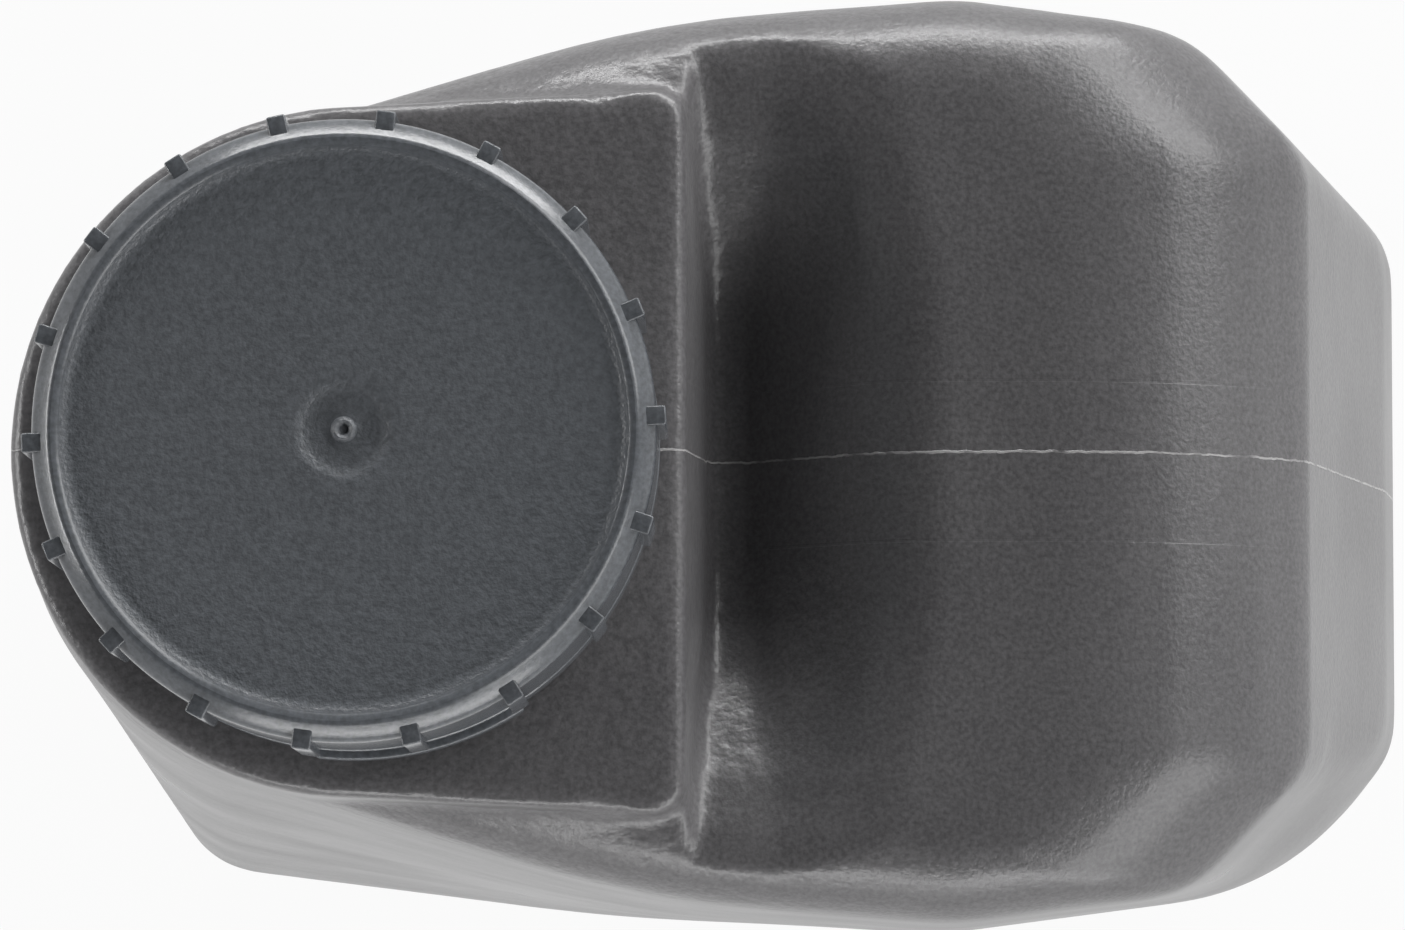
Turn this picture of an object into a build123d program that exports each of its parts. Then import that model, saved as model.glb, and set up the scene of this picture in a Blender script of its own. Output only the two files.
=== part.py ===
from build123d import *
from math import acos, atan2, cos, hypot, radians, sin, sqrt, tan
import os

# One-litre motor oil bottle, closed by a screw cap with a tamper-evident band.
# Millimetres. +Z up, +X from the neck end to the sloped rear, parting plane at Y = 0,
# origin in the middle of the base, on the surface that the bottle stands on.

# Bottle body
body_length = 107.0
body_width = 69.0
ridge_z = 178.0             # height of the flat roof behind the finger recess
wall = 1.1                  # blown wall
foot_corner_r = 8.0         # plan outline at the base
foot_corner_inset = 7.9     # corner of the plan polygon, in from the widest point
foot_bow_reach = 41.5       # where the side bends: how far behind the front, and how far in
foot_bow_inset = 0.9
foot_narrowing = 2.0        # how much each side draws in from the grip ledge to the base
widest_reach = 36.5         # the widest point, ahead of the rear
side_bow_r = 14.0
rear_side_angle = 7.5       # how fast the sides close in behind the widest point
rear_corner_r = 12.0
corner_cut = 9.1            # how deep the corner flats cut into the corners of the full box

# Shoulders: the plan outline changes with the depth below the ridge
shoulder_r = 8.0
top_front_inset = 15.8      # corner of the plan polygon at roof level, round the neck
top_front_r = 24.2
top_bow_reach = 47.5
top_bow_inset = 1.4
top_bow_r = 80.0
foot_bow_r = 200.0
flat_depth = 52.0           # depth at which the rear grip flats end
ledge_depth = 60.0          # depth at which the ledge under them reaches the full corner
grip_facing = (0.72, 0.69)  # plan direction that a rear grip flat faces
grip_depth = 7.4            # how far the flat lies in from the full corner, at roof level
grip_slope = 0.13           # how far the flat moves out for each millimetre down
grip_corner_r = 6.0
side_corner_r = 22.0        # where the side turns into the flat, at the ledge and below
roof_corner_inset = 10.5
rear_crease_inset = 10.1    # crease where the roof's curve meets the rear slope, in from the rear
roof_curve_angle = 56.0     # steepness of the roof's curve at the crease
roof_curve_r = 23.9
rear_angle = 74.5           # steepness of the rear slope

# Neck platform and finger recess
platform_r = 25.65
platform_flare = 1.4        # how much wider each side is at the platform's rear edge
platform_rise = 1.8
platform_draft = 0.5
platform_depth = 12.0       # how far the platform's skirt runs down into the shoulder
platform_edge = 0.6         # bevel round the platform's top
platform_corner_r = 2.5
platform_reach = 24.4       # rear edge of the platform, behind the neck's axis
recess_wall_lean = 8.0
recess_depth = 11.3
recess_ramp_angle = 45.0
recess_length = 20.8        # from the platform's edge to where the ramp has become the flat roof
recess_ridge_r = 12.0
recess_floor_w = 2.6        # flat floor between the steep wall and the ramp
# Across the bottle the recess grows shallower: distance from the middle and share of the full depth.
recess_fall = [(0, 1.0), (8, 0.99), (12, 0.93), (16, 0.76), (20, 0.52), (24, 0.3), (28, 0.18), (40, 0.14)]

# Base
base_rounding = [(0.0, 3.4), (1.0, 1.3), (3.4, 0.0)]   # height and how far the side is drawn in
push_up_inset = 7.0
push_up_depth = 3.0
push_up_draft = 45.0

# Neck finish
neck_reach = 25.8           # the neck's axis, behind the front
neck_root_r = 19.1
neck_bore_r = 17.0
neck_mouth_bevel = 0.5
neck_foot_r = 1.0
retaining_bead_r = 20.35
retaining_bead_z = 5.2      # underside of the bead, above the platform
retaining_bead_h = 1.6

# Cap
cap_rib_r = 23.0            # over the grip ribs
cap_skirt_r = 22.35
cap_bead_r = 21.5           # outer edge of the raised rim bead
cap_disc_r = 20.3
cap_height = 14.5
cap_bottom_z = 5.3          # above the platform
cap_bead_rise = 0.7
cap_shoulder_depth = 3.2    # from the top of the rim bead to the tops of the ribs
cap_inner_r = 20.75
cap_top_wall = 1.5
rib_count = 18
rib_width = 1.4
rib_first_angle = -17.5
gate_dimple_r = 4.0
gate_dimple_depth = 0.35
liner_thickness = 1.0
liner_clearance = 0.05      # radial, wad in the cap

# Tamper-evident band
band_r = 22.4
band_wall = 1.5
band_bottom_z = 0.8         # above the platform
band_height = 4.0
claw_clearance = 0.4        # radial, claw to the neck
claw_h = 1.2
tab_r = 23.0                # over the thick tear tab
tab_first_angle = -97.0
tab_last_angle = -57.0
tab_h = 2.4

# Places that follow from the sizes
front_x = -body_length / 2
rear_x = body_length / 2
half_width = body_width / 2
foot_corner_y = half_width - foot_corner_inset
foot_bow = (front_x + foot_bow_reach, half_width - foot_bow_inset)
top_front_y = half_width - top_front_inset
top_bow = (front_x + top_bow_reach, half_width - top_bow_inset)
widest_x = rear_x - widest_reach
roof_corner_y = half_width - roof_corner_inset
rear_crease_x = rear_x - rear_crease_inset
neck_x = front_x + neck_reach
recess_wall_x = neck_x + platform_reach
recess_ridge_x = recess_wall_x + recess_length
platform_z = ridge_z + platform_rise
cap_top_z = cap_bottom_z + cap_height
disc_z = cap_top_z - cap_bead_rise
liner_top_z = disc_z - cap_top_wall
mouth_z = liner_top_z - liner_thickness
facing = (grip_facing[0] / hypot(*grip_facing), grip_facing[1] / hypot(*grip_facing))
full_chamfer = facing[0] * rear_x + facing[1] * half_width - corner_cut
grip_distance = full_chamfer - grip_depth


def between(a, b, share):
    return a + (b - a) * share


def side_y(x):
    """Half width of the straight side behind the widest point."""
    return half_width + 0.35 - (x - widest_x) * tan(radians(rear_side_angle))


def plan_corners(share, chamfer, rear):
    """Corners of one half of the plan polygon; share is 0 at the roof and 1 at the base."""
    slope = tan(radians(rear_side_angle))
    drawn_in = foot_narrowing * max(0.0, (share * ridge_z - ledge_depth) / (ridge_z - ledge_depth))
    chamfer -= drawn_in
    flat_x = (chamfer - facing[1] * (side_y(0) - drawn_in)) / (facing[0] - facing[1] * slope)
    flat_end_y = (chamfer - facing[0] * rear) / facing[1]
    return [
        (front_x, between(top_front_y, foot_corner_y, share)),
        (between(top_bow[0], foot_bow[0], share), between(top_bow[1], foot_bow[1], share) - drawn_in),
        (widest_x, side_y(widest_x) - drawn_in),
        (flat_x, side_y(flat_x) - drawn_in),
        (rear, flat_end_y),
    ]


def front_radii(share):
    """Plan radii of the front corner, the bow and the widest point."""
    corner = between(top_front_r, foot_corner_r, share)
    return [corner, between(top_bow_r, foot_bow_r, share), side_bow_r]


def moved_in(corners, distance):
    """Corners of the closed, mirrored polygon with each side moved inwards."""
    ring = corners + [(x, -y) for x, y in reversed(corners)]
    sides = []
    for (x0, y0), (x1, y1) in zip(ring, ring[1:] + ring[:1]):
        length = hypot(x1 - x0, y1 - y0)
        dx, dy = (x1 - x0) / length, (y1 - y0) / length
        sides.append((x0 + dy * distance, y0 - dx * distance, dx, dy))
    result = []
    for (ax, ay, adx, ady), (bx, by, bdx, bdy) in zip(sides[-1:] + sides[:-1], sides):
        along = ((bx - ax) * bdy - (by - ay) * bdx) / (adx * bdy - ady * bdx)
        result.append((ax + adx * along, ay + ady * along))
    return result


def fitting_radii(ring, radii):
    """Corner radii, made smaller where a side of the closed ring is too short for both its ends."""
    sides = [(bx - ax, by - ay) for (ax, ay), (bx, by) in zip(ring, ring[1:] + ring[:1])]
    reach = []                  # tangent length per millimetre of radius at each corner
    for (ax, ay), (bx, by) in zip(sides[-1:] + sides[:-1], sides):
        turn = atan2(ax * by - ay * bx, ax * bx + ay * by)
        reach.append(abs(tan(turn / 2)))
    fitted = list(radii)
    for start, (dx, dy) in enumerate(sides):
        end = (start + 1) % len(ring)
        needed = fitted[start] * reach[start] + fitted[end] * reach[end]
        share = min(1.0, 0.99 * hypot(dx, dy) / needed)
        fitted[start] *= share
        fitted[end] *= share
    return fitted


def plan_face(corners, radii, z, inset):
    """Plan outline with rounded corners at height z."""
    smallest = 3.0
    radii = [max(radius - inset, smallest) for radius in radii]
    ring = moved_in(corners, inset)
    outline = FilletPolyline(ring, radius=fitting_radii(ring, radii + radii[::-1]), close=True)
    return Plane.XY.offset(z) * make_face(outline)


def slope_x(depth, inset):
    """X of the roof's curve, and of the rear slope below the crease, at a depth below the ridge."""
    centre_x = rear_crease_x - roof_curve_r * sin(radians(roof_curve_angle))
    crease_depth = roof_curve_r * (1 - cos(radians(roof_curve_angle)))
    turn = radians(rear_angle)
    slope = rear_crease_x + (depth - crease_depth) / tan(turn) - inset / sin(turn)
    if depth >= crease_depth:
        return min(slope, rear_x - inset)
    radius = roof_curve_r - inset
    curve = centre_x + radius * sin(acos(min(1.0, (roof_curve_r - depth) / radius)))
    return min(curve, slope)


def full_face(z, inset):
    """Plan outline of the lower body at height z."""
    share = (ridge_z - z) / ridge_z
    radii = front_radii(share) + [side_corner_r, rear_corner_r]
    return plan_face(plan_corners(share, full_chamfer, rear_x), radii, z, inset)


def shoulder_face(depth, inset):
    """Plan outline of the shoulders at a depth below the ridge."""
    share = depth / ridge_z
    radius = shoulder_r - inset
    below_top = depth - inset
    rounding = radius - sqrt(radius**2 - (radius - below_top) ** 2) if below_top < radius else 0.0
    total = rounding + inset
    rear = slope_x(depth, inset) + total
    chamfer = grip_distance + grip_slope * depth
    chamfer = min(chamfer, facing[0] * rear + facing[1] * roof_corner_y)
    turning = between(grip_corner_r, side_corner_r, min(1.0, depth / ledge_depth))
    radii = front_radii(share) + [turning, grip_corner_r]
    return plan_face(plan_corners(share, chamfer, rear), radii, ridge_z - depth, total)


def body_form(inset):
    """Solid form of the body without platform and recess, moved inwards by inset."""
    rounding_steps = [0.01, 0.08, 0.22, 0.45, 0.75]
    depths = [inset + (shoulder_r - inset) * step for step in rounding_steps]
    crease_depth = roof_curve_r * (1 - cos(radians(roof_curve_angle)))
    depths += [9.0, crease_depth, 17.0, 23.0, 31.0, 41.0, flat_depth]
    if inset > 0:
        depths = depths[:1] + depths[1::2]  # the hidden inside needs fewer levels
    shoulders = [shoulder_face(depth, inset) for depth in reversed(depths)]
    rounding = base_rounding if inset == 0 else base_rounding[::2]
    foot = [full_face(z + inset, inset + drawn) for z, drawn in rounding]
    lower = foot + [full_face(ridge_z - ledge_depth, inset), shoulders[0]]
    return loft(lower, ruled=True) + loft(shoulders, ruled=True)


def platform_form(inset):
    """Raised platform under the neck, with its skirt running down into the shoulder."""
    radius = platform_r - inset
    straight = recess_wall_x - inset - neck_x
    wide = radius + platform_flare
    sides = Polyline((0, -radius), (straight, -wide), (straight, wide), (0, radius), close=True)
    plan = Circle(radius) + make_face(sides)
    plan = fillet(plan.vertices().group_by(Axis.X)[-1], platform_corner_r)
    block = extrude(plan, -platform_depth, taper=-platform_draft)
    if inset == 0:
        block = chamfer(block.edges().group_by(Axis.Z)[-1], platform_edge)
    return Pos(neck_x, 0, platform_z - inset) * block


def recess_section(y, share, grow):
    """Lengthwise section of the recess at a distance from the middle, share of its depth deep."""
    above = 8.0
    lift = 0.06                 # the ramp crosses the roof instead of only touching it
    floor_z = ridge_z - recess_depth * share - grow
    top_z = ridge_z + above
    lean = tan(radians(recess_wall_lean))
    wall_top = recess_wall_x - grow - above * lean
    foot_x = wall_top + (top_z - floor_z) * lean
    roof_end = recess_ridge_x + grow
    corner_x = roof_end - recess_ridge_r * tan(radians(recess_ramp_angle) / 2)
    floor_x = foot_x + recess_floor_w + (1 - share) * (corner_x - foot_x - recess_floor_w) * 0.35
    outline = FilletPolyline(
        [
            (wall_top, top_z),
            (foot_x, floor_z),
            (floor_x, floor_z),
            (corner_x, ridge_z + lift),
            (roof_end + 4.0, ridge_z + lift),
            (roof_end + 4.0, top_z),
        ],
        radius=[0, 0, 0, recess_ridge_r - grow, 0, 0],
        close=True,
    )
    return Plane(origin=(0, y, 0), x_dir=(1, 0, 0), z_dir=(0, -1, 0)) * make_face(outline)


def recess_tool(grow):
    """Finger recess behind the platform, steep at the neck, with a ramp up to the ridge."""
    halves = [(y, share) for y, share in recess_fall]
    if grow > 0:
        halves = halves[:3] + halves[4::2] + halves[-1:]
    stations = [(-y, share) for y, share in reversed(halves[1:])] + halves
    return loft([recess_section(y, share, grow) for y, share in stations], ruled=True)


def neck_finish():
    """Neck with its retaining bead, standing on the platform. Its thread is fine work of the looks."""
    foot = platform_z - wall
    mouth = platform_z + mouth_z
    bead_low = platform_z + retaining_bead_z
    bead_high = bead_low + retaining_bead_h
    bevel = neck_mouth_bevel
    profile = Polyline(
        (neck_bore_r, foot),
        (neck_root_r + neck_foot_r, foot),
        (neck_root_r + neck_foot_r, platform_z),
        (neck_root_r, platform_z + neck_foot_r),
        (neck_root_r, bead_low),
        (retaining_bead_r, bead_low),
        (retaining_bead_r, bead_low + retaining_bead_h / 3),
        (neck_root_r, bead_high),
        (neck_root_r, mouth - bevel),
        (neck_root_r - bevel, mouth),
        (neck_bore_r, mouth),
        close=True,
    )
    return Pos(neck_x, 0, 0) * revolve(Plane.XZ * make_face(profile), Axis.Z)


def push_up(grow):
    """Hollow under the base, so that the bottle stands on its rim; grow is the wall over it."""
    below = 0.5
    lean = tan(radians(push_up_draft))
    edge = push_up_inset - grow / cos(radians(push_up_draft))
    top = push_up_depth + grow
    return loft([full_face(-below, edge - below * lean), full_face(top, edge + top * lean)], ruled=True)


def bottle():
    """One blown shell: body, platform, finger recess, neck and base."""
    outer = body_form(0.0) + platform_form(0.0) - recess_tool(0.0) - push_up(0.0)
    inner = body_form(wall) + platform_form(wall) - recess_tool(wall) - push_up(wall)
    shell = outer - inner
    bore = Pos(neck_x, 0, platform_z - wall) * Cylinder(neck_bore_r, 4 * wall)
    return shell - bore + neck_finish()


def cap():
    """Screw cap with rim bead, grip ribs and the dimple round its gate mark."""
    bottom, top, disc = cap_bottom_z, cap_top_z, disc_z
    bead_quarter = (cap_bead_r - cap_disc_r) / 4
    rib_top = top - cap_shoulder_depth
    outside = Polyline(
        (cap_inner_r, bottom),
        (cap_skirt_r, bottom),
        (cap_skirt_r, rib_top),
        (cap_bead_r, disc),
        (cap_bead_r - bead_quarter, top),
        (cap_disc_r + bead_quarter, top),
        (cap_disc_r, disc),
        (gate_dimple_r, disc),
        (gate_dimple_r / 2, disc - gate_dimple_depth),
        (0, disc - gate_dimple_depth),
        (0, liner_top_z),
        (cap_inner_r, liner_top_z),
        close=True,
    )
    body = Pos(neck_x, 0, platform_z) * revolve(Plane.XZ * make_face(outside), Axis.Z)
    rib_height = rib_top - bottom
    standing = (Align.CENTER, Align.CENTER, Align.MIN)
    rib = Box(2 * (cap_rib_r - cap_skirt_r), rib_width, rib_height, align=standing)
    rib = chamfer(rib.edges().filter_by(Axis.Z).sort_by(Axis.X)[-2:], 0.25)
    for place in PolarLocations(cap_skirt_r, rib_count, start_angle=rib_first_angle):
        body += Pos(neck_x, 0, platform_z + bottom) * place * rib
    return body


def liner():
    """Foam wad under the cap's top, resting on the neck's mouth."""
    wad = Cylinder(cap_inner_r - liner_clearance, liner_thickness)
    return Pos(neck_x, 0, platform_z + mouth_z + liner_thickness / 2) * wad


def tamper_band():
    """Ring that stays on the neck, held by a claw under the retaining bead, with its tear tab."""
    low, high = band_bottom_z, band_bottom_z + band_height
    claw_r = neck_root_r + claw_clearance
    inner_r = band_r - band_wall
    profile = Polyline(
        (inner_r, low),
        (band_r, low),
        (band_r, high),
        (claw_r, high),
        (inner_r, high - claw_h),
        close=True,
    )
    ring = revolve(Plane.XZ * make_face(profile), Axis.Z)
    span = tab_last_angle - tab_first_angle
    root = inner_r + band_wall / 2
    tab = Polyline((root, low), (tab_r, low), (tab_r, low + tab_h), (root, low + tab_h), close=True)
    tab = Rot(0, 0, tab_first_angle) * revolve(Plane.XZ * make_face(tab), Axis.Z, span)
    return Pos(neck_x, 0, platform_z) * (ring + tab)


def main():
    os.makedirs("parts", exist_ok=True)
    makers = {"bottle": bottle, "cap": cap, "liner": liner, "tamper_band": tamper_band}
    for name, maker in makers.items():
        export_step(maker(), f"parts/{name}.step")


main()
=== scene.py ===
"""Looks of the motor oil bottle: its finishes, its moulding marks, studio light and camera."""
import logging
import math
from dataclasses import dataclass
from enum import Enum
from typing import Any

import bmesh
import bpy
from mathutils import Matrix, Vector


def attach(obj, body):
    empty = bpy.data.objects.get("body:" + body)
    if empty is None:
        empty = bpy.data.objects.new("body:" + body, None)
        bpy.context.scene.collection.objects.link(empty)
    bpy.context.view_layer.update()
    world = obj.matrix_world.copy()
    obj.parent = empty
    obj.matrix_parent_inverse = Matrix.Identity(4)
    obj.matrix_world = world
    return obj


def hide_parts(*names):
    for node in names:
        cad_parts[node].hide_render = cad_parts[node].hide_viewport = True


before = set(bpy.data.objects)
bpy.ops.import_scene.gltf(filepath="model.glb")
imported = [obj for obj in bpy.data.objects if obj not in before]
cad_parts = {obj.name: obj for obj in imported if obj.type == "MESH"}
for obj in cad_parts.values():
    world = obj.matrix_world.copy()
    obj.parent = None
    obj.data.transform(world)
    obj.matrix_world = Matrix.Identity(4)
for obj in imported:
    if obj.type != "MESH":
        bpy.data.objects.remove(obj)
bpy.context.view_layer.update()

log = logging.getLogger("motor_oil_bottle")
logging.basicConfig(level=logging.INFO, format="%(name)s: %(message)s")

MM = 0.001
NECK_X = -27.7 * MM
RIDGE_Z = 178.0 * MM
PLATFORM_Z = 179.8 * MM
# Edges sharper than this keep a crease in their shading.
SHARP_ANGLE = math.radians(35.0)
# Vertices nearer than this are one, in metres and for profiles in millimetres.
WELD = 1e-7
WELD_MM = 1e-5
# Where most of a noise texture's values lie.
NOISE_SPAN = (0.3, 0.7)
# Steps round a bevelled edge.
ROUND_STEPS = 3


class Body(Enum):
    """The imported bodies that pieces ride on."""

    BOTTLE = "bottle_body"
    LINER = "liner_body"
    CAP = "cap_body"


class Slot(Enum):
    """The record's material slots."""

    BODY = "body_plastic"
    CAP = "cap_plastic"
    LINER = "liner_foam"


def linear(hex_colour: str) -> tuple[float, float, float, float]:
    """Turns an sRGB hex colour to linear light.

    Args:
        hex_colour: six hex digits.

    Returns:
        Red, green, blue and an alpha of 1.
    """
    channels = [int(hex_colour[i : i + 2], 16) / 255 for i in (0, 2, 4)]
    straight = [c / 12.92 if c <= 0.04045 else ((c + 0.055) / 1.055) ** 2.4 for c in channels]
    return (straight[0], straight[1], straight[2], 1.0)


def add_node(
    tree: bpy.types.NodeTree, kind: str, settings: dict[str, Any], links: dict[Any, Any]
) -> bpy.types.Node:
    """Adds one node to a node tree.

    Args:
        tree: the tree that gets the node.
        kind: the node's type name.
        settings: attribute names, or input names or numbers, and their values.
        links: input names or numbers, and the sockets that feed them.

    Returns:
        The new node.
    """
    node = tree.nodes.new(kind)
    for name, value in settings.items():
        if isinstance(name, str) and hasattr(node, name):
            setattr(node, name, value)
        else:
            node.inputs[name].default_value = value
    for name, socket in links.items():
        tree.links.new(socket, node.inputs[name])
    return node


def calculate(
    tree: bpy.types.NodeTree, operation: str, *values: bpy.types.NodeSocket | float
) -> bpy.types.NodeSocket:
    """Adds one sum to a node tree.

    Args:
        tree: the tree that gets the node.
        operation: what the node does with its values.
        values: sockets or plain numbers, in the order of the node's inputs.

    Returns:
        The result.
    """
    settings: dict[Any, Any] = {"operation": operation}
    links: dict[Any, Any] = {}
    for number, value in enumerate(values):
        is_fed = isinstance(value, bpy.types.NodeSocket)
        (links if is_fed else settings)[number] = value
    return add_node(tree, "ShaderNodeMath", settings, links).outputs[0]


def remap(
    tree: bpy.types.NodeTree,
    value: bpy.types.NodeSocket,
    source: tuple[float, float],
    target: tuple[float, float] = (0.0, 1.0),
    interpolation: str = "LINEAR",
) -> bpy.types.NodeSocket:
    """Brings a value from one range to another, and holds it at the range's ends.

    Args:
        tree: the tree that gets the node.
        value: the value.
        source: where its range starts and ends.
        target: what it becomes there.
        interpolation: LINEAR, or SMOOTHSTEP for a soft start and end.

    Returns:
        The value in its new range.
    """
    settings = {
        "interpolation_type": interpolation,
        "From Min": source[0],
        "From Max": source[1],
        "To Min": target[0],
        "To Max": target[1],
    }
    return add_node(tree, "ShaderNodeMapRange", settings, {"Value": value}).outputs[0]


def grains(
    tree: bpy.types.NodeTree,
    place: bpy.types.NodeSocket,
    size_mm: float,
    layers: float,
    finer_share: float = 0.55,
) -> bpy.types.NodeSocket:
    """Adds a noise whose grains are about a given size.

    Args:
        tree: the material's nodes.
        place: the point on the piece.
        size_mm: the size of a grain.
        layers: how many finer layers it has.
        finer_share: how much of each layer's strength the next finer one keeps.

    Returns:
        The noise, about 0.5 in the middle.
    """
    settings = {"Scale": 1.0 / (size_mm * MM), "Detail": layers, "Roughness": finer_share}
    return add_node(tree, "ShaderNodeTexNoise", settings, {"Vector": place}).outputs["Fac"]


def set_bump(
    tree: bpy.types.NodeTree,
    shader: bpy.types.Node,
    height: bpy.types.NodeSocket,
    strength: float = 1.0,
    distance_mm: float = 1.0,
) -> None:
    """Lets a shader show small heights that the mesh doesn't have.

    Args:
        tree: the material's nodes.
        shader: the shader.
        height: the height at each point.
        strength: 1 for the full effect.
        distance_mm: how high a height of 1 is.
    """
    settings = {"Strength": strength, "Distance": distance_mm * MM}
    bump = add_node(tree, "ShaderNodeBump", settings, {"Height": height})
    tree.links.new(bump.outputs["Normal"], shader.inputs["Normal"])


def new_material(name: str) -> tuple[bpy.types.Material, bpy.types.NodeTree, bpy.types.Node]:
    """Makes a material.

    Args:
        name: the material's name.

    Returns:
        The material, its node tree and its shader.
    """
    material = bpy.data.materials.new(name)
    material.use_nodes = True
    tree = material.node_tree
    return material, tree, tree.nodes["Principled BSDF"]


def new_object(name: str, build: bmesh.types.BMesh) -> bpy.types.Object:
    """Turns a bmesh into a linked object at the origin.

    Args:
        name: the object's name.
        build: the bmesh, freed here.

    Returns:
        The object.
    """
    bmesh.ops.remove_doubles(build, verts=build.verts[:], dist=WELD)
    bmesh.ops.recalc_face_normals(build, faces=build.faces[:])
    mesh = bpy.data.meshes.new(name)
    build.to_mesh(mesh)
    build.free()
    mesh.shade_smooth()
    mesh.set_sharp_from_angle(angle=SHARP_ANGLE)
    obj = bpy.data.objects.new(name, mesh)
    bpy.context.scene.collection.objects.link(obj)
    return obj


def apply_modifiers(obj: bpy.types.Object) -> None:
    """Makes an object's modifiers part of its mesh.

    Args:
        obj: the object, whose modifiers are removed.
    """
    bpy.context.view_layer.update()
    graph = bpy.context.evaluated_depsgraph_get()
    finished = bpy.data.meshes.new_from_object(obj.evaluated_get(graph), depsgraph=graph)
    obj.modifiers.clear()
    obj.data = finished
    finished.shade_smooth()
    finished.set_sharp_from_angle(angle=SHARP_ANGLE)


def combine(obj: bpy.types.Object, other: bpy.types.Object, operation: str) -> None:
    """Joins a closed form to another, or cuts it out, and removes the other object.

    Args:
        obj: the form that is changed.
        other: the form that is joined or cut out.
        operation: UNION or DIFFERENCE.
    """
    boolean = obj.modifiers.new("combine", "BOOLEAN")
    boolean.object = other
    boolean.operation = operation
    boolean.solver = "MANIFOLD"
    apply_modifiers(obj)
    bpy.data.objects.remove(other)


def to_neck(build: bmesh.types.BMesh) -> None:
    """Brings a bmesh in millimetres, on the neck's axis and the platform, to its place in metres.

    Args:
        build: the bmesh, with Z up from the platform.
    """
    bmesh.ops.scale(build, vec=(MM, MM, MM), verts=build.verts[:])
    bmesh.ops.translate(build, vec=(NECK_X, 0, PLATFORM_Z), verts=build.verts[:])


def turned(
    profile: tuple[tuple[float, float], ...], closed: bool, steps: int = 144
) -> bmesh.types.BMesh:
    """Spins a profile of radius and height round the neck's axis.

    Args:
        profile: radius and height of each point, in millimetres.
        closed: True where the last point joins the first.
        steps: how many steps make the full turn.

    Returns:
        The bmesh, still in millimetres.
    """
    build = bmesh.new()
    points = [build.verts.new((radius, 0, height)) for radius, height in profile]
    line = [build.edges.new(pair) for pair in zip(points, points[1:])]
    if closed:
        line.append(build.edges.new((points[-1], points[0])))
    bmesh.ops.spin(
        build,
        geom=points + line,
        cent=(0, 0, 0),
        axis=(0, 0, 1),
        angle=math.tau,
        steps=steps,
        use_merge=True,
    )
    bmesh.ops.remove_doubles(build, verts=build.verts[:], dist=WELD_MM)
    bmesh.ops.recalc_face_normals(build, faces=build.faces[:])
    return build


@dataclass(frozen=True)
class Thread:
    """A right-hand thread round the neck's axis, in millimetres."""

    wall_r: float
    crest_r: float
    start_z: float
    start_angle: float = 0.0
    turns: float = 1.5
    pitch: float = 4.0
    root_w: float = 1.9
    crest_w: float = 0.8
    steps_per_turn: int = 72
    run_out: float = 0.35
    end_share: float = 0.15
    sunk: float = 0.25
    near_crest: float = 1e-3

    def build(self) -> bmesh.types.BMesh:
        """Spins the thread's section up its helix, and lets it run out at both ends.

        Returns:
            The closed thread, in millimetres.
        """
        sunk = math.copysign(self.sunk, self.wall_r - self.crest_r)
        corners = [
            (self.wall_r + sunk, -self.root_w / 2),
            (self.wall_r, -self.root_w / 2),
            (self.crest_r, -self.crest_w / 2),
            (self.crest_r, self.crest_w / 2),
            (self.wall_r, self.root_w / 2),
            (self.wall_r + sunk, self.root_w / 2),
        ]
        build = bmesh.new()
        ring = [build.verts.new((r, 0, self.start_z + z)) for r, z in corners]
        section = build.faces.new(ring)
        steps = round(self.turns * self.steps_per_turn)
        bmesh.ops.spin(
            build,
            geom=section.verts[:] + section.edges[:] + [section],
            cent=(0, 0, 0),
            axis=(0, 0, 1),
            dvec=(0, 0, self.pitch / self.steps_per_turn),
            angle=math.tau * self.turns,
            steps=steps,
        )
        bmesh.ops.holes_fill(build, edges=build.edges[:])
        rise = self.pitch * self.turns
        for corner in build.verts:
            along = (corner.co.z - self.start_z) / rise
            from_end = min(along, 1.0 - along) * rise / self.run_out
            share = max(0.0, min(1.0, from_end + self.end_share))
            radius = math.hypot(corner.co.x, corner.co.y)
            if abs(radius - self.crest_r) < self.near_crest:
                kept = (self.wall_r + (self.crest_r - self.wall_r) * share) / radius
                corner.co.x *= kept
                corner.co.y *= kept
        turn = Matrix.Rotation(math.radians(self.start_angle), 3, "Z")
        bmesh.ops.rotate(build, cent=(0, 0, 0), matrix=turn, verts=build.verts[:])
        bmesh.ops.recalc_face_normals(build, faces=build.faces[:])
        return build


def report(piece: str, obj: bpy.types.Object) -> None:
    """Logs a piece's name and its count of triangles.

    Args:
        piece: the piece's name.
        obj: the piece.
    """
    obj.data.calc_loop_triangles()
    log.info("%s: %d triangles", piece, len(obj.data.loop_triangles))


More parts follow.
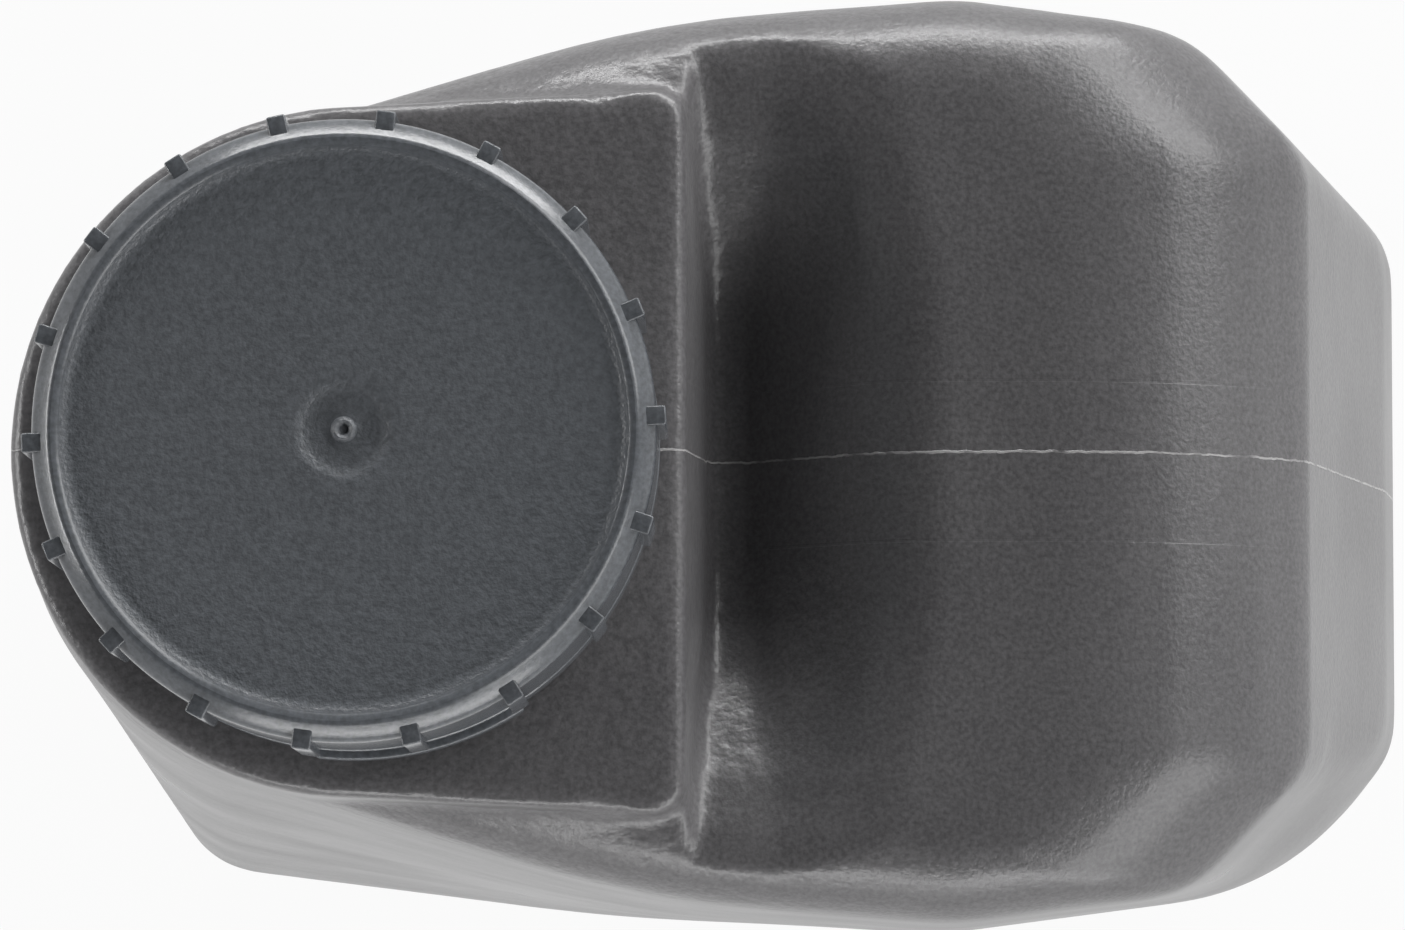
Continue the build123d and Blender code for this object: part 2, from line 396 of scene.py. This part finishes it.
@dataclass(frozen=True)
class BlownPolyethylene:
    """HDPE blown against a sand-blasted mould: satin, and coarser where it met the mould last."""

    name: str = "blow_moulded_hdpe"
    colour: str = "535254"
    pale: str = "5F5E5F"
    # The flash's colour: paler than the wall, a painted highlight along it.
    flash_and_highlight: str = "9C9B9B"
    ior: float = 1.54
    roughness: float = 0.31
    roughness_changes: tuple[float, float] = (-0.04, 0.06)
    patch_mm: float = 22.0
    grain_mm: float = 0.36
    grain_height_mm: float = 0.034
    # How far the grain's painted light and shade moves the colour either way.
    grain_shade_share: float = 0.24
    pebble_mm: float = 1.3
    pebble_height_mm: float = 0.09
    pebble_x_mm: tuple[float, float] = (16.0, 4.0)
    pebble_least: float = 0.25
    line_core: float = 0.45
    flash_half_mm: float = 0.11
    flash_height_mm: float = 0.10
    flash_stray_mm: float = 0.06
    flash_wave_mm: float = 0.9
    flash_break_mm: float = 2.6
    flash_break_span: tuple[float, float] = (0.34, 0.5)
    flash_least: float = 0.15
    insert_lines_mm: tuple[float, float] = (5.3, -6.57)
    insert_half_mm: float = 0.14
    insert_height_mm: float = -0.012
    insert_x_mm: tuple[float, float] = (-4.0, -2.0)
    insert_below_ridge_mm: tuple[float, float] = (12.0, 9.0)

    def line(
        self,
        tree: bpy.types.NodeTree,
        across: bpy.types.NodeSocket,
        place_mm: float,
        half_mm: float,
    ) -> bpy.types.NodeSocket:
        """Marks a narrow line along the bottle at one distance from the parting plane.

        Args:
            tree: the material's nodes.
            across: the distance from the parting plane, in metres.
            place_mm: where the line lies.
            half_mm: half its width.

        Returns:
            1 on the line and 0 beside it.
        """
        off = calculate(tree, "SUBTRACT", across, place_mm * MM)
        size = calculate(tree, "ABSOLUTE", off)
        edge = (half_mm * MM, self.line_core * half_mm * MM)
        return remap(tree, size, edge, interpolation="SMOOTHSTEP")

    def parting_flash(
        self, tree: bpy.types.NodeTree, place: bpy.types.NodeSocket, across: bpy.types.NodeSocket
    ) -> bpy.types.NodeSocket:
        """Draws the mould's parting line: a thin, ragged flash over the whole bottle.

        Args:
            tree: the material's nodes.
            place: the point on the bottle.
            across: its distance from the parting plane, in metres.

        Returns:
            1 on the flash, less where it is broken, and 0 beside it.
        """
        stray = self.flash_stray_mm * MM
        wave = grains(tree, place, self.flash_wave_mm, 2.0)
        ragged = remap(tree, wave, NOISE_SPAN, (-stray, stray))
        wavy = calculate(tree, "ADD", across, ragged)
        ridge = self.line(tree, wavy, 0.0, self.flash_half_mm)
        breaks = grains(tree, place, self.flash_break_mm, 3.0)
        whole = remap(tree, breaks, self.flash_break_span, (self.flash_least, 1.0))
        return calculate(tree, "MULTIPLY", ridge, whole)

    def insert_joints(
        self, tree: bpy.types.NodeTree, axes: bpy.types.Node
    ) -> bpy.types.NodeSocket:
        """Draws the joints of the mould's loose insert, on the roof behind the platform only.

        Args:
            tree: the material's nodes.
            axes: the node that parts the point on the bottle in X, Y and Z.

        Returns:
            1 on the joints and 0 beside them.
        """
        start, end = (place * MM for place in self.insert_x_mm)
        behind = remap(tree, axes.outputs["X"], (start, end))
        low, high = (RIDGE_Z - below * MM for below in self.insert_below_ridge_mm)
        roof = remap(tree, axes.outputs["Z"], (low, high))
        where = calculate(tree, "MULTIPLY", behind, roof)
        left, right = (
            self.line(tree, axes.outputs["Y"], place, self.insert_half_mm)
            for place in self.insert_lines_mm
        )
        both = calculate(tree, "ADD", left, right)
        return calculate(tree, "MULTIPLY", both, where)

    def material(self) -> bpy.types.Material:
        """Builds the bottle's material.

        Returns:
            The finish of blown HDPE: sheen without gloss, with the marks that the mould leaves,
                painted light and shade on its grain and a painted highlight on its flash.
        """
        material, tree, shader = new_material(self.name)
        place = add_node(tree, "ShaderNodeTexCoord", {}, {}).outputs["Object"]
        axes = add_node(tree, "ShaderNodeSeparateXYZ", {}, {0: place})
        # The blasted mould's grit, drawn a little coarser than it is so that it shows.
        grain = grains(tree, place, self.grain_mm, 2.0)
        # Coarser pebbles round the recess, where the plastic met the mould thick and cool.
        pebble = grains(tree, place, self.pebble_mm, 1.0)
        start, end = (place_mm * MM for place_mm in self.pebble_x_mm)
        near_recess = remap(tree, axes.outputs["X"], (start, end), (self.pebble_least, 1.0))
        pebbled = calculate(tree, "MULTIPLY", pebble, near_recess)
        flash_and_highlight = self.parting_flash(tree, place, axes.outputs["Y"])
        inserts = self.insert_joints(tree, axes)
        height = calculate(tree, "MULTIPLY", grain, self.grain_height_mm)
        for mark, mark_height in (
            (pebbled, self.pebble_height_mm),
            (flash_and_highlight, self.flash_height_mm),
            (inserts, self.insert_height_mm),
        ):
            height = calculate(tree, "MULTIPLY_ADD", mark, mark_height, height)
        set_bump(tree, shader, height)
        # Slow changes of shade and sheen, as of a parison that stretched unevenly.
        patches = grains(tree, place, self.patch_mm, 3.0)
        shade = add_node(
            tree,
            "ShaderNodeMix",
            {"data_type": "RGBA", 6: linear(self.colour), 7: linear(self.pale)},
            {0: patches},
        )
        # Painted light and shade: the grit's tops are painted paler and its pits darker, following
        # the same noise that gives them their height.
        grain_shade = remap(tree, grain, NOISE_SPAN, (1.0 - self.grain_shade_share, 1.0 + self.grain_shade_share))
        grain_shaded = add_node(
            tree,
            "ShaderNodeVectorMath",
            {"operation": "SCALE"},
            {0: shade.outputs[2], "Scale": grain_shade},
        )
        # Painted highlight: the flash is painted paler than the wall, standing in for the light
        # that catches along its thin ridge.
        flash_highlighted = add_node(
            tree,
            "ShaderNodeMix",
            {"data_type": "RGBA", 7: linear(self.flash_and_highlight)},
            {0: flash_and_highlight, 6: grain_shaded.outputs[0]},
        )
        tree.links.new(flash_highlighted.outputs[2], shader.inputs["Base Color"])
        smoothest, roughest = (self.roughness + change for change in self.roughness_changes)
        rough = remap(tree, patches, NOISE_SPAN, (smoothest, roughest))
        tree.links.new(rough, shader.inputs["Roughness"])
        shader.inputs["IOR"].default_value = self.ior
        return material


@dataclass(frozen=True)
class MouldedPolypropylene:
    """Injection-moulded PP, coloured grey: spark-eroded grain on the disc, polished on the rim."""

    name: str = "moulded_pp"
    colour: str = "54575B"
    ior: float = 1.49
    grain_roughness: float = 0.44
    rim_roughness: float = 0.22
    grain_mm: float = 0.42
    grain_finer_share: float = 0.6
    grain_height_mm: float = 0.09
    # How far the grain's painted light and shade moves the colour either way.
    grain_shade_share: float = 0.22
    disc_r_mm: float = 20.2
    disc_blend_mm: float = 0.15
    rim_grain: float = 0.12

    def disc(
        self, tree: bpy.types.NodeTree, place: bpy.types.NodeSocket
    ) -> bpy.types.NodeSocket:
        """Marks the grained disc inside the rim.

        Args:
            tree: the material's nodes.
            place: the point on the cap.

        Returns:
            1 on the disc, and the rim's small share of the grain outside it.
        """
        centred = add_node(
            tree, "ShaderNodeMapping", {"Location": (-NECK_X, 0, 0)}, {"Vector": place}
        )
        flat = add_node(
            tree,
            "ShaderNodeVectorMath",
            {"operation": "MULTIPLY", 1: (1, 1, 0)},
            {0: centred.outputs[0]},
        )
        radius = add_node(
            tree, "ShaderNodeVectorMath", {"operation": "LENGTH"}, {0: flat.outputs[0]}
        )
        outer = (self.disc_r_mm + self.disc_blend_mm) * MM
        inner = (self.disc_r_mm - self.disc_blend_mm) * MM
        return remap(tree, radius.outputs["Value"], (outer, inner), (self.rim_grain, 1.0))

    def material(self) -> bpy.types.Material:
        """Builds the cap's material.

        Returns:
            The finish of moulded PP: fine grain inside the rim, and a cleaner shine on it, with
                painted light and shade on the grain.
        """
        material, tree, shader = new_material(self.name)
        place = add_node(tree, "ShaderNodeTexCoord", {}, {}).outputs["Object"]
        disc = self.disc(tree, place)
        # Spark-eroded grain, drawn a little coarser than it is so that it shows.
        grain = grains(tree, place, self.grain_mm, 2.0, self.grain_finer_share)
        grained = calculate(tree, "MULTIPLY", grain, disc)
        set_bump(tree, shader, calculate(tree, "MULTIPLY", grained, self.grain_height_mm))
        # The rim's polished steel leaves it smoother than the disc.
        sheen = (self.rim_roughness, self.grain_roughness)
        rough = remap(tree, disc, (self.rim_grain, 1.0), sheen)
        tree.links.new(rough, shader.inputs["Roughness"])
        # Painted light and shade: the grain's tops are painted paler and its pits darker,
        # following the same noise that gives them their height.
        grain_shade = remap(tree, grain, NOISE_SPAN, (1.0 - self.grain_shade_share, 1.0 + self.grain_shade_share))
        grain_shaded = add_node(
            tree,
            "ShaderNodeVectorMath",
            {"operation": "SCALE", 0: linear(self.colour)[:3]},
            {"Scale": grain_shade},
        )
        tree.links.new(grain_shaded.outputs[0], shader.inputs["Base Color"])
        shader.inputs["IOR"].default_value = self.ior
        return material


@dataclass(frozen=True)
class FoamedPolyethylene:
    """Closed-cell PE foam, cut from sheet: soft, white and dull."""

    name: str = "foamed_pe"
    colour: str = "E8E7E3"
    roughness: float = 0.75
    cell_mm: float = 0.4
    cell_depth_mm: float = 0.05
    cell_strength: float = 0.4

    def material(self) -> bpy.types.Material:
        """Builds the liner's material.

        Returns:
            The finish of cut foam: fine closed cells that scatter the light.
        """
        material, tree, shader = new_material(self.name)
        place = add_node(tree, "ShaderNodeTexCoord", {}, {})
        cells = add_node(
            tree,
            "ShaderNodeTexVoronoi",
            {"Scale": 1.0 / (self.cell_mm * MM)},
            {"Vector": place.outputs["Object"]},
        )
        # The cut cells are shallow pits, which keep the foam from looking like paper.
        set_bump(tree, shader, cells.outputs["Distance"], self.cell_strength, self.cell_depth_mm)
        shader.inputs["Base Color"].default_value = linear(self.colour)
        shader.inputs["Roughness"].default_value = self.roughness
        return material


@dataclass
class BlownBottle:
    """The blown shell: the solid's own outside with softened edges, its cavity and the neck.

    Lengths are in millimetres; the neck's heights count from the platform.
    """

    voxel_mm: float = 0.65
    soft_rounds: int = 20
    edge_rounds: int = 4
    soft_factor: float = 0.5
    kept_share: float = 0.45
    cad_weld_m: float = 2e-6
    foot_depth: float = 1.05
    foot_r: float = 20.6
    bore_top: float = 20.0
    tight_z: float = 160.0
    tight_neck_r: float = 31.0
    tight_x: tuple[float, float] = (-8.0, 22.0)
    tight_half_y: float = 31.0
    crease_x: float = 43.4
    crease_half: float = 2.5
    neck_profile: tuple[tuple[float, float], ...] = (
        (0.0, -1.6),
        (20.2, -1.6),
        (20.2, 0.0),
        (19.6, 0.15),
        (19.25, 0.5),
        (19.1, 1.1),
        (19.1, 5.2),
        (20.15, 5.2),
        (20.35, 5.4),
        (20.35, 5.75),
        (20.2, 5.95),
        (19.1, 6.8),
        (19.1, 16.1),
        (18.95, 16.45),
        (18.6, 16.6),
        (0.0, 16.6),
    )
    thread: Thread = Thread(wall_r=19.1, crest_r=20.3, start_z=8.4)

    def skins(self) -> tuple[bmesh.types.BMesh, bmesh.types.BMesh]:
        """Parts the solid's outer and inner skin at the neck.

        Returns:
            The outer skin and the inner one, each open in a ring at the neck.
        """
        merged = bmesh.new()
        merged.from_mesh(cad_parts["bottle"].data)
        bmesh.ops.remove_doubles(merged, verts=merged.verts[:], dist=self.cad_weld_m)
        neck = [
            face
            for face in merged.faces
            if face.calc_center_median().z > PLATFORM_Z - self.foot_depth * MM
            and max(math.hypot(v.co.x - NECK_X, v.co.y) for v in face.verts)
            < self.foot_r * MM
        ]
        bmesh.ops.delete(merged, geom=neck, context="FACES")
        lowest = min(merged.faces, key=lambda face: face.calc_center_median().z)
        outside, waiting = {lowest}, [lowest]
        while waiting:
            for edge in waiting.pop().edges:
                fresh = [face for face in edge.link_faces if face not in outside]
                outside.update(fresh)
                waiting.extend(fresh)
        merged.faces.index_update()
        kept = {face.index for face in outside}
        inner = merged.copy()
        for skin, is_outer in ((inner, False), (merged, True)):
            lost = [face for face in skin.faces if (face.index in kept) != is_outer]
            bmesh.ops.delete(skin, geom=lost, context="FACES")
        return merged, inner

    def outer_form(self, skin: bmesh.types.BMesh) -> bpy.types.Object:
        """Closes the outer skin and softens it, as blowing rounds every edge of a bottle.

        Args:
            skin: the outer skin, open at the neck.

        Returns:
            The closed outer form without its neck.
        """
        bmesh.ops.edgeloop_fill(skin, edges=[edge for edge in skin.edges if edge.is_boundary])
        form = new_object("bottle_shell", skin)
        remesh = form.modifiers.new("even_mesh", "REMESH")
        remesh.mode = "VOXEL"
        remesh.voxel_size = self.voxel_mm * MM
        apply_modifiers(form)
        # The platform, the recess behind it and the crease across the rear stay tighter.
        loose = [v.index for v in form.data.vertices if not self.is_tight(v.co / MM)]
        soft = form.vertex_groups.new(name="soft")
        soft.add(loose, 1.0, "REPLACE")
        for rounds, group in ((self.soft_rounds, "soft"), (self.edge_rounds, "")):
            smooth = form.modifiers.new("soften", "SMOOTH")
            smooth.factor = self.soft_factor
            smooth.iterations = rounds
            smooth.vertex_group = group
        apply_modifiers(form)
        fewer = form.modifiers.new("fewer", "DECIMATE")
        fewer.ratio = self.kept_share
        apply_modifiers(form)
        form.vertex_groups.clear()
        return form

    def is_tight(self, place: Vector) -> bool:
        """Says whether a point lies where the mould's edges are tighter.

        Args:
            place: the point, in millimetres.

        Returns:
            True round the platform and the recess, and at the rear's crease.
        """
        start, end = self.tight_x
        by_neck = math.hypot(place.x - NECK_X / MM, place.y) < self.tight_neck_r
        by_recess = start < place.x < end and abs(place.y) < self.tight_half_y
        at_crease = abs(place.x - self.crease_x) < self.crease_half
        return place.z > self.tight_z and (by_neck or by_recess or at_crease)

    def cavity(self, skin: bmesh.types.BMesh) -> bpy.types.Object:
        """Runs the inner skin up through the neck as the bore, and closes it.

        Args:
            skin: the inner skin, open at the neck.

        Returns:
            The closed form of the space inside.
        """
        rim = [edge for edge in skin.edges if edge.is_boundary]
        raised = bmesh.ops.extrude_edge_only(skin, edges=rim)["geom"]
        for corner in raised:
            if isinstance(corner, bmesh.types.BMVert):
                corner.co.z = PLATFORM_Z + self.bore_top * MM
        bmesh.ops.edgeloop_fill(skin, edges=[edge for edge in skin.edges if edge.is_boundary])
        return new_object("cavity", skin)

    def build(self) -> bpy.types.Object:
        """Builds the shell.

        Returns:
            The bottle in one piece.
        """
        outer, inner = self.skins()
        shell = self.outer_form(outer)
        neck = turned(self.neck_profile, closed=False)
        to_neck(neck)
        combine(shell, new_object("neck", neck), "UNION")
        thread = self.thread.build()
        to_neck(thread)
        combine(shell, new_object("thread", thread), "UNION")
        combine(shell, self.cavity(inner), "DIFFERENCE")
        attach(shell, Body.BOTTLE.value)
        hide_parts("bottle")
        report("bottle", shell)
        return shell


@dataclass
class ScrewCap:
    """The cap: a rimmed disc, a glossy shoulder, grip ribs, its thread and the gate's mark.

    Lengths are in millimetres; heights count from the platform.
    """

    profile: tuple[tuple[float, float], ...] = (
        (0.0, 18.8),
        (0.3, 18.82),
        (0.45, 19.0),
        (0.65, 19.12),
        (0.85, 19.0),
        (0.95, 18.72),
        (1.3, 18.66),
        (2.5, 18.7),
        (3.0, 18.86),
        (3.4, 19.06),
        (3.8, 19.12),
        (4.6, 19.1),
        (19.3, 19.1),
        (19.7, 19.16),
        (20.05, 19.32),
        (20.35, 19.55),
        (20.6, 19.72),
        (20.85, 19.8),
        (21.02, 19.74),
        (21.2, 19.6),
        (21.6, 19.25),
        (22.0, 18.88),
        (22.18, 18.66),
        (22.29, 18.38),
        (22.34, 18.0),
        (22.35, 17.4),
        (22.35, 5.45),
        (22.2, 5.3),
        (20.9, 5.3),
        (20.75, 5.45),
        (20.75, 17.3),
        (20.45, 17.6),
        (0.0, 17.6),
    )
    steps: int = 180
    rib_count: int = 18
    rib_first_angle: float = -17.5
    rib_r: float = 23.0
    rib_width: float = 1.4
    rib_low: float = 5.42
    rib_high: float = 19.25
    rib_inner_r: float = 21.0
    rib_edge: float = 0.18
    thread: Thread = Thread(wall_r=20.75, crest_r=19.45, start_z=8.05, start_angle=117.0)

    def ribs(self) -> bmesh.types.BMesh:
        """Sets the grip ribs round the skirt, with rounded edges.

        Returns:
            The separate, closed ribs, in millimetres.
        """
        depth = self.rib_r - self.rib_inner_r
        length = self.rib_high - self.rib_low
        middle = ((self.rib_r + self.rib_inner_r) / 2, 0, (self.rib_high + self.rib_low) / 2)
        build = bmesh.new()
        for number in range(self.rib_count):
            made = bmesh.ops.create_cube(build, size=1.0)["verts"]
            bmesh.ops.scale(build, vec=(depth, self.rib_width, length), verts=made)
            bmesh.ops.translate(build, vec=middle, verts=made)
            angle = math.radians(self.rib_first_angle + number * 360 / self.rib_count)
            turn = Matrix.Rotation(angle, 3, "Z")
            bmesh.ops.rotate(build, cent=(0, 0, 0), matrix=turn, verts=made)
        bmesh.ops.bevel(
            build,
            geom=build.edges[:],
            offset=self.rib_edge,
            affect="EDGES",
            segments=ROUND_STEPS,
            profile=0.5,
            material=-1,
        )
        return build

    def build(self) -> bpy.types.Object:
        """Builds the cap.

        Returns:
            The cap in one piece.
        """
        body = turned(self.profile, closed=False, steps=self.steps)
        to_neck(body)
        cap = new_object("screw_cap", body)
        for name, build in (("ribs", self.ribs()), ("cap_thread", self.thread.build())):
            to_neck(build)
            combine(cap, new_object(name, build), "UNION")
        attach(cap, Body.CAP.value)
        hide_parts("cap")
        report("cap", cap)
        return cap


@dataclass
class TamperBand:
    """The band left on the neck: its claw, its tear tab and the stubs of the broken bridges.

    Lengths are in millimetres; heights count from the platform.
    """

    profile: tuple[tuple[float, float], ...] = (
        (20.9, 1.0),
        (21.1, 0.8),
        (22.2, 0.8),
        (22.4, 1.0),
        (22.4, 4.6),
        (22.2, 4.8),
        (19.7, 4.8),
        (19.5, 4.65),
        (19.6, 4.5),
        (20.9, 3.5),
    )
    tab_inner_r: float = 21.6
    tab_r: float = 23.0
    tab_first_angle: float = -97.0
    tab_span: float = 40.0
    tab_low: float = 0.85
    tab_high: float = 3.2
    tab_steps: int = 20
    tab_edge: float = 0.25
    tab_edge_angle: float = 40.0
    tab_edge_depth: float = 0.1
    stub_count: int = 12
    stub_size: tuple[float, float, float] = (0.55, 0.8, 0.4)
    stub_r: float = 21.9
    stub_z: float = 4.8
    stub_first_angle: float = 8.0

    def tab(self) -> bmesh.types.BMesh:
        """Spins the thick tear tab along the band.

        Returns:
            The closed tab, in millimetres.
        """
        build = bmesh.new()
        corners = (
            (self.tab_inner_r, self.tab_low),
            (self.tab_r, self.tab_low),
            (self.tab_r, self.tab_high),
            (self.tab_inner_r, self.tab_high),
        )
        ring = [build.verts.new((radius, 0, height)) for radius, height in corners]
        section = build.faces.new(ring)
        bmesh.ops.spin(
            build,
            geom=section.verts[:] + section.edges[:] + [section],
            cent=(0, 0, 0),
            axis=(0, 0, 1),
            angle=math.radians(self.tab_span),
            steps=self.tab_steps,
        )
        bmesh.ops.holes_fill(build, edges=build.edges[:])
        bmesh.ops.recalc_face_normals(build, faces=build.faces[:])
        outside = [
            edge
            for edge in build.edges
            if edge.calc_face_angle(0.0) > math.radians(self.tab_edge_angle)
            and all(
                math.hypot(v.co.x, v.co.y) > self.tab_r - self.tab_edge_depth
                for v in edge.verts
            )
        ]
        bmesh.ops.bevel(
            build,
            geom=outside,
            offset=self.tab_edge,
            affect="EDGES",
            segments=ROUND_STEPS,
            profile=0.5,
            material=-1,
        )
        turn = Matrix.Rotation(math.radians(self.tab_first_angle), 3, "Z")
        bmesh.ops.rotate(build, cent=(0, 0, 0), matrix=turn, verts=build.verts[:])
        return build

    def stubs(self) -> bmesh.types.BMesh:
        """Sets what the broken bridges left on the band's upper rim.

        Returns:
            The separate, closed stubs, in millimetres.
        """
        build = bmesh.new()
        for number in range(self.stub_count):
            made = bmesh.ops.create_cube(build, size=1.0)["verts"]
            bmesh.ops.scale(build, vec=self.stub_size, verts=made)
            bmesh.ops.translate(build, vec=(self.stub_r, 0, self.stub_z), verts=made)
            angle = number * 360 / self.stub_count + self.stub_first_angle
            turn = Matrix.Rotation(math.radians(angle), 3, "Z")
            bmesh.ops.rotate(build, cent=(0, 0, 0), matrix=turn, verts=made)
        return build

    def build(self) -> bpy.types.Object:
        """Builds the band.

        Returns:
            The band in one piece.
        """
        ring = turned(self.profile, closed=True)
        to_neck(ring)
        band = new_object("tear_band", ring)
        for name, build in (("tab", self.tab()), ("stubs", self.stubs())):
            to_neck(build)
            combine(band, new_object(name, build), "UNION")
        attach(band, Body.BOTTLE.value)
        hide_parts("tamper_band")
        report("tamper_band", band)
        return band


@dataclass
class FoamWad:
    """The foam wad in the cap, with the ring that the neck's mouth has pressed into it.

    Lengths are in millimetres; heights count from the platform.
    """

    profile: tuple[tuple[float, float], ...] = (
        (0.0, 16.6),
        (16.7, 16.6),
        (16.95, 16.62),
        (17.1, 16.68),
        (18.9, 16.68),
        (19.05, 16.62),
        (19.3, 16.6),
        (20.45, 16.6),
        (20.6, 16.68),
        (20.7, 16.85),
        (20.7, 17.35),
        (20.6, 17.52),
        (20.45, 17.6),
        (0.0, 17.6),
    )

    def build(self) -> bpy.types.Object:
        """Builds the wad.

        Returns:
            The wad in one piece.
        """
        disc = turned(self.profile, closed=False)
        to_neck(disc)
        wad = new_object("foam_wad", disc)
        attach(wad, Body.LINER.value)
        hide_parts("liner")
        report("liner", wad)
        return wad


@dataclass
class PhotoCamera:
    """The camera high over the bottle, a little in front of its long side."""

    place_mm: tuple[float, float, float] = (-0.2, -43.1, 733.4)
    aim_mm: tuple[float, float, float] = (-2.2, -1.0, 178.0)
    focal_px: float = 7529.0
    photo_width_px: int = 1405
    sensor_mm: float = 36.0
    clip_start_m: float = 0.05

    def build(self) -> None:
        """Makes the scene's camera, with the photograph's up along +Y."""
        data = bpy.data.cameras.new("camera")
        data.sensor_width = self.sensor_mm
        data.sensor_fit = "HORIZONTAL"
        data.lens = self.focal_px * self.sensor_mm / self.photo_width_px
        data.clip_start = self.clip_start_m
        camera = bpy.data.objects.new("camera", data)
        place = Vector(self.place_mm) * MM
        back = (place - Vector(self.aim_mm) * MM).normalized()
        right = Vector((0, 1, 0)).cross(back).normalized()
        up = back.cross(right)
        turn = Matrix((right, up, back)).transposed().to_4x4()
        camera.matrix_world = Matrix.Translation(place) @ turn
        bpy.context.scene.collection.objects.link(camera)
        bpy.context.scene.camera = camera


@dataclass(frozen=True)
class Lamp:
    """One soft rectangular lamp, with its place and its size in metres."""

    name: str
    watts: float
    place: tuple[float, float, float]
    size: tuple[float, float]

    def build(self, aim: Vector) -> None:
        """Adds the lamp to the scene.

        Args:
            aim: the point that it faces.
        """
        data = bpy.data.lights.new(self.name, "AREA")
        data.shape = "RECTANGLE"
        data.size, data.size_y = self.size
        data.energy = self.watts
        place = Vector(self.place)
        lamp = bpy.data.objects.new(self.name + "_lamp", data)
        lamp.location = place
        lamp.rotation_euler = (aim - place).to_track_quat("-Z", "Y").to_euler()
        bpy.context.scene.collection.objects.link(lamp)


@dataclass
class Studio:
    """White table and low wall in a dim room: two lamps behind, two beside, one in front."""

    wall_light: float = 1.0
    wall_height: tuple[float, float] = (0.1, 0.25)
    sky_light: float = 0.6
    ceiling_light: float = 0.05
    ceiling_height: tuple[float, float] = (0.05, 0.45)
    dark_end: float = 0.06
    dark_x: tuple[float, float] = (-0.5, 0.12)
    table_reach: float = 3.0
    table_colour: str = "B4B4B4"
    table_roughness: float = 0.9
    table_white: float = 0.94
    aim: tuple[float, float, float] = (0.0, 0.0, 0.17)
    lamps: tuple[Lamp, ...] = (
        Lamp("rear_left", 6.3, (0.7, 0.55, 0.63), (0.9, 0.35)),
        Lamp("rear_right", 4.7, (0.7, -0.55, 0.63), (0.9, 0.35)),
        Lamp("left", 9.5, (0.1, 0.9, 0.3), (1.1, 0.14)),
        Lamp("right", 4.5, (0.1, -0.9, 0.3), (1.1, 0.14)),
        Lamp("front", 4.5, (-0.9, 0.0, 0.4), (0.7, 0.12)),
    )

    def seen_directly(self, tree: bpy.types.NodeTree) -> bpy.types.NodeSocket:
        """Tells the camera's view, and what gloss and glass show, from the light itself.

        Args:
            tree: the nodes of the table.

        Returns:
            1 for camera, glossy and transmission rays, otherwise 0.
        """
        path = add_node(tree, "ShaderNodeLightPath", {}, {})
        seen = path.outputs["Is Camera Ray"]
        for ray in ("Is Glossy Ray", "Is Transmission Ray"):
            seen = calculate(tree, "MAXIMUM", seen, path.outputs[ray])
        return seen

    def table(self) -> None:
        """Lays the table that the bottle stands on: it shows white and keeps a soft shadow."""
        build = bmesh.new()
        bmesh.ops.create_grid(build, x_segments=1, y_segments=1, size=self.table_reach)
        table = new_object("table", build)
        material, tree, shader = new_material("white_paper")
        shader.inputs["Roughness"].default_value = self.table_roughness
        shader.inputs["Base Color"].default_value = linear(self.table_colour)
        # Paper lit evenly to white, which leaves a small share for the bottle's shadow.
        white = add_node(tree, "ShaderNodeEmission", {"Strength": 1.0}, {})
        share = calculate(tree, "MULTIPLY", self.seen_directly(tree), self.table_white)
        mixed = add_node(
            tree,
            "ShaderNodeMixShader",
            {},
            {0: share, 1: shader.outputs[0], 2: white.outputs[0]},
        )
        tree.links.new(mixed.outputs[0], tree.nodes["Material Output"].inputs["Surface"])
        table.data.materials.append(material)

    def world(self) -> None:
        """Makes the room: dim overhead and on the neck's side, with a white wall low down."""
        world = bpy.data.worlds.new("studio")
        bpy.context.scene.world = world
        world.use_nodes = True
        tree = world.node_tree
        background = tree.nodes["Background"]
        direction = add_node(tree, "ShaderNodeTexCoord", {}, {}).outputs["Generated"]
        axes = add_node(tree, "ShaderNodeSeparateXYZ", {}, {0: direction})
        overhead = (self.sky_light, self.ceiling_light)
        room = remap(tree, axes.outputs["Z"], self.ceiling_height, overhead, "SMOOTHSTEP")
        # The room is dark on the neck's side, which the recess's ramp faces.
        neck_side = (self.dark_end, 1.0)
        shaded = remap(tree, axes.outputs["X"], self.dark_x, neck_side, "SMOOTHSTEP")
        strength = calculate(tree, "MULTIPLY", room, shaded)
        # A white wall stands round the table, low enough to leave the recess in the dark.
        wall_ends = (self.wall_light, 0.0)
        wall = remap(tree, axes.outputs["Z"], self.wall_height, wall_ends, "SMOOTHSTEP")
        either = calculate(tree, "MAXIMUM", strength, wall)
        tree.links.new(either, background.inputs["Strength"])
        background.inputs["Color"].default_value = (1, 1, 1, 1)

    def build(self) -> None:
        """Sets the world, the table and the lamps."""
        self.world()
        self.table()
        for lamp in self.lamps:
            lamp.build(Vector(self.aim))


def main() -> None:
    """Builds the pieces in order, then the studio and the camera."""
    bpy.context.scene.view_settings.view_transform = "Standard"
    PhotoCamera().build()
    polypropylene = MouldedPolypropylene().material()
    finishes = (
        (BlownBottle(), BlownPolyethylene().material()),
        (ScrewCap(), polypropylene),
        (TamperBand(), polypropylene),
        (FoamWad(), FoamedPolyethylene().material()),
    )
    for maker, material in finishes:
        piece = maker.build()
        piece.data.materials.clear()
        piece.data.materials.append(material)
    Studio().build()


if __name__ == "__main__":
    main()
